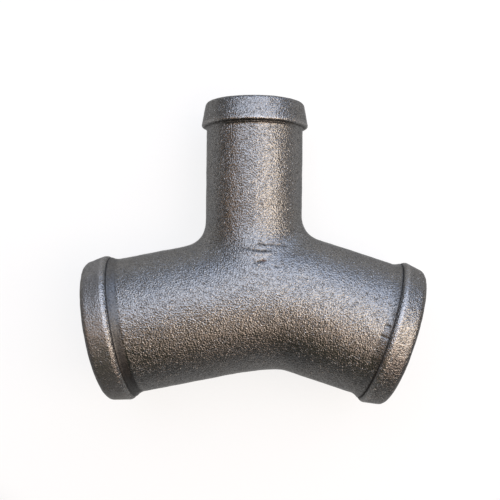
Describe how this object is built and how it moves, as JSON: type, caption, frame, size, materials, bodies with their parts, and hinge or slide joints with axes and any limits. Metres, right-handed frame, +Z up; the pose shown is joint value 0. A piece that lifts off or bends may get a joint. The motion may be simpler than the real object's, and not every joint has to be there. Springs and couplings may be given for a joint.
{
  "type": "pipe tee",
  "caption": "Cast hose tee: a main pipe bent through about thirty degrees, a smaller stub on the outside of the bend, and a tapered hose collar on each end.",
  "frame": {"origin": "centre of the bounding box on the plane that the casting rests on", "axes": "+X across the two arms, from the longer arm to the shorter; +Y towards the stub's mouth; +Z up, away from the resting plane"},
  "size_m": [0.0952, 0.0854, 0.041],
  "materials": {
    "casting": "bare shot-blasted casting, finely pebbled, satin metallic"
  },
  "bodies": {
    "root": {"tee_casting": "casting"}
  },
  "joints": []
}
